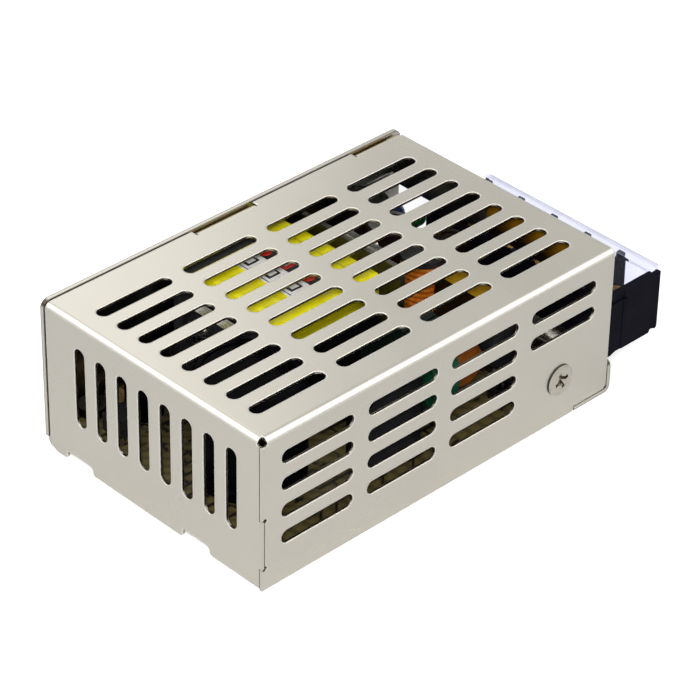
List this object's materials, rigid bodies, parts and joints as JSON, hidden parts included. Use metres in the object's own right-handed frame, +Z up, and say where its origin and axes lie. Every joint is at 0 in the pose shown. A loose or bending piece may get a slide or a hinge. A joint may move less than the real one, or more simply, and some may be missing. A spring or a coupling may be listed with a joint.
{
  "type": "switching power supply",
  "caption": "Small enclosed switching power supply: folded steel case with a slotted cover, barrier terminal block under a clear hinged lid, and its converter inside.",
  "frame": {"origin": "centre of the case's base underside", "axes": "+X to the terminal end, +Z up out of the cover"},
  "size_m": [0.0895, 0.0515, 0.028],
  "materials": {
    "case_metal": "satin galvanised sheet",
    "screw_metal": "bright plated steel",
    "film": "thin plastic film",
    "board": "tan laminate with dark tracks",
    "block_plastic": "moulded black plastic",
    "contact_brass": "plated brass",
    "clear_lid": "clear moulded plastic",
    "ferrite": "dark ground ferrite",
    "bobbin_plastic": "phenolic",
    "yellow_tape": "yellow polyester tape",
    "black_sleeve": "black sleeve",
    "brown_sleeve": "dark brown sleeve",
    "black_epoxy": "moulded epoxy",
    "green_coating": "green epoxy coating",
    "copper_wire": "enamelled copper wire",
    "orange_coating": "dipped epoxy",
    "yellow_box": "moulded box",
    "fuse_glass": "glass tube with plated caps",
    "blue_coating": "dipped epoxy",
    "blue_plastic": "moulded plastic",
    "white_plastic": "moulded plastic",
    "green_lens": "diffused lens",
    "aluminium_plate": "mill finish",
    "resistor_coating": "coated, with bands"
  },
  "bodies": {
    "case": {"chassis": "case_metal", "cover": "case_metal", "cover_screw": "screw_metal", "insulation_film": "film", "circuit_board": "board", "board_posts": "screw_metal", "board_screws": "screw_metal", "terminal_block": "block_plastic", "terminal_contacts": "contact_brass", "transformer_core": "ferrite", "transformer_bobbin": "bobbin_plastic", "transformer_winding": "yellow_tape", "bulk_capacitor": "black_sleeve", "bridge_rectifier": "black_epoxy", "choke_core": "green_coating", "choke_windings": "copper_wire", "inductor_core": "ferrite", "inductor_winding": "copper_wire", "varistor": "orange_coating", "thermistor": "black_epoxy", "line_capacitor": "yellow_box", "fuse": "fuse_glass", "fuse_clips": "screw_metal", "output_capacitors": "brown_sleeve", "safety_capacitor": "blue_coating", "trimmer_body": "blue_plastic", "indicator_led": "green_lens", "switch_transistor": "black_epoxy", "switch_heatsink": "aluminium_plate", "output_rectifier": "black_epoxy", "output_heatsink": "aluminium_plate", "heatsink_screws": "screw_metal", "controller_chip": "black_epoxy", "optocoupler": "black_epoxy", "resistors": "resistor_coating", "supply_capacitor": "black_sleeve"},
    "lid": {"terminal_lid": "clear_lid"},
    "clamp_1": {"wire_clamp_1": "screw_metal"},
    "screw_1": {"terminal_screw_1": "screw_metal"},
    "clamp_2": {"wire_clamp_2": "screw_metal"},
    "screw_2": {"terminal_screw_2": "screw_metal"},
    "clamp_3": {"wire_clamp_3": "screw_metal"},
    "screw_3": {"terminal_screw_3": "screw_metal"},
    "clamp_4": {"wire_clamp_4": "screw_metal"},
    "screw_4": {"terminal_screw_4": "screw_metal"},
    "clamp_5": {"wire_clamp_5": "screw_metal"},
    "screw_5": {"terminal_screw_5": "screw_metal"},
    "rotor": {"trimmer_rotor": "white_plastic"}
  },
  "joints": [
    {"name": "lid_hinge", "type": "hinge", "parent": "case", "child": "lid", "pos_m": [0.0409, 0, 0.0168], "axis": [0, -1, 0], "range_deg": [0, 80]},
    {"name": "clamp_lift_1", "type": "slide", "parent": "case", "child": "clamp_1", "axis": [0, 0, 1], "range_m": [0, 0.002]},
    {"name": "screw_turn_1", "type": "hinge", "parent": "clamp_1", "child": "screw_1", "pos_m": [0.0446, -0.02066, 0.012], "axis": [0, 0, 1], "range_deg": [0, 1440]},
    {"name": "clamp_lift_2", "type": "slide", "parent": "case", "child": "clamp_2", "axis": [0, 0, 1], "range_m": [0, 0.002]},
    {"name": "screw_turn_2", "type": "hinge", "parent": "clamp_2", "child": "screw_2", "pos_m": [0.0446, -0.01304, 0.012], "axis": [0, 0, 1], "range_deg": [0, 1440]},
    {"name": "clamp_lift_3", "type": "slide", "parent": "case", "child": "clamp_3", "axis": [0, 0, 1], "range_m": [0, 0.002]},
    {"name": "screw_turn_3", "type": "hinge", "parent": "clamp_3", "child": "screw_3", "pos_m": [0.0446, -0.00543, 0.012], "axis": [0, 0, 1], "range_deg": [0, 1440]},
    {"name": "clamp_lift_4", "type": "slide", "parent": "case", "child": "clamp_4", "axis": [0, 0, 1], "range_m": [0, 0.002]},
    {"name": "screw_turn_4", "type": "hinge", "parent": "clamp_4", "child": "screw_4", "pos_m": [0.0446, 0.00219, 0.012], "axis": [0, 0, 1], "range_deg": [0, 1440]},
    {"name": "clamp_lift_5", "type": "slide", "parent": "case", "child": "clamp_5", "axis": [0, 0, 1], "range_m": [0, 0.002]},
    {"name": "screw_turn_5", "type": "hinge", "parent": "clamp_5", "child": "screw_5", "pos_m": [0.0446, 0.00982, 0.012], "axis": [0, 0, 1], "range_deg": [0, 1440]},
    {"name": "trimmer_turn", "type": "hinge", "parent": "case", "child": "rotor", "pos_m": [0.0356, 0.01695, 0.0098], "axis": [1, 0, 0], "range_deg": [-130, 130]}
  ],
  "couplings": [
    {"joint": "screw_turn_1", "follows": "clamp_lift_1", "rad_per_m": 12566},
    {"joint": "screw_turn_2", "follows": "clamp_lift_2", "rad_per_m": 12566},
    {"joint": "screw_turn_3", "follows": "clamp_lift_3", "rad_per_m": 12566},
    {"joint": "screw_turn_4", "follows": "clamp_lift_4", "rad_per_m": 12566},
    {"joint": "screw_turn_5", "follows": "clamp_lift_5", "rad_per_m": 12566}
  ]
}
